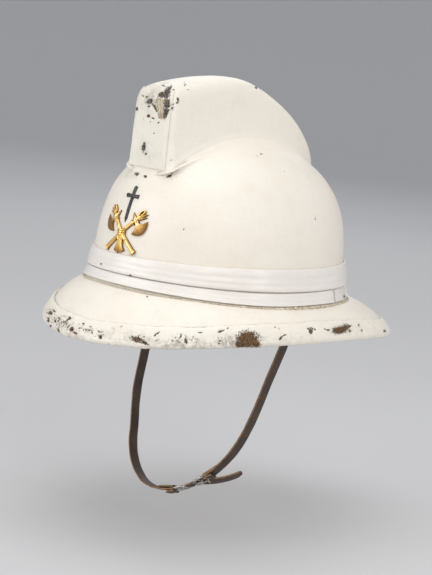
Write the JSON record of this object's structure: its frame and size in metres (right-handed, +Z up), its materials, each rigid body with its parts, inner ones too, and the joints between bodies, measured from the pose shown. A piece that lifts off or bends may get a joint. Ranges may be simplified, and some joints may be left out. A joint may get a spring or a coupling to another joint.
{
  "type": "pith helmet with raised comb",
  "caption": "White painted cork fire helmet: hollow crown with a tall front-to-rear comb, sloping brim, folded cloth band, crossed-axes badge and a leather chin strap with a free end.",
  "frame": {"origin": "centre of the head opening, in the plane of the band's lower edge at the sides, where the helmet sits on a head", "axes": "+Z up along the wearer's head, -Y towards the front and the badge, +X towards the wearer's left, where the buckles are"},
  "size_m": [0.246, 0.3397, 0.3457],
  "materials": {
    "shell_paint": "cream oil paint over cloth on cork, satin, chipped at the edges",
    "binding_paint": "cream oil paint over folded cloth, chipped to brown",
    "band_paint": "glossy off-white paint over folded cloth",
    "badge_gilt": "worn gilt",
    "sword_metal": "dark tarnished metal",
    "strap_leather": "dark brown leather with worn tan edges",
    "buckle_metal": "tarnished nickel",
    "lug_metal": "plain dark metal"
  },
  "bodies": {
    "root": {"shell": "shell_paint", "comb_facing": "shell_paint", "edge_binding": "binding_paint", "band_upper": "band_paint", "band_lower": "band_paint", "band_lap": "band_paint", "badge_axes": "badge_gilt", "badge_sword": "sword_metal", "strap_left": "strap_leather", "strap_link": "strap_leather", "strap_right": "strap_leather", "strap_tail": "strap_leather", "buckle_left": "buckle_metal", "buckle_chin": "buckle_metal", "lug_left": "lug_metal", "lug_right": "lug_metal"}
  },
  "joints": []
}
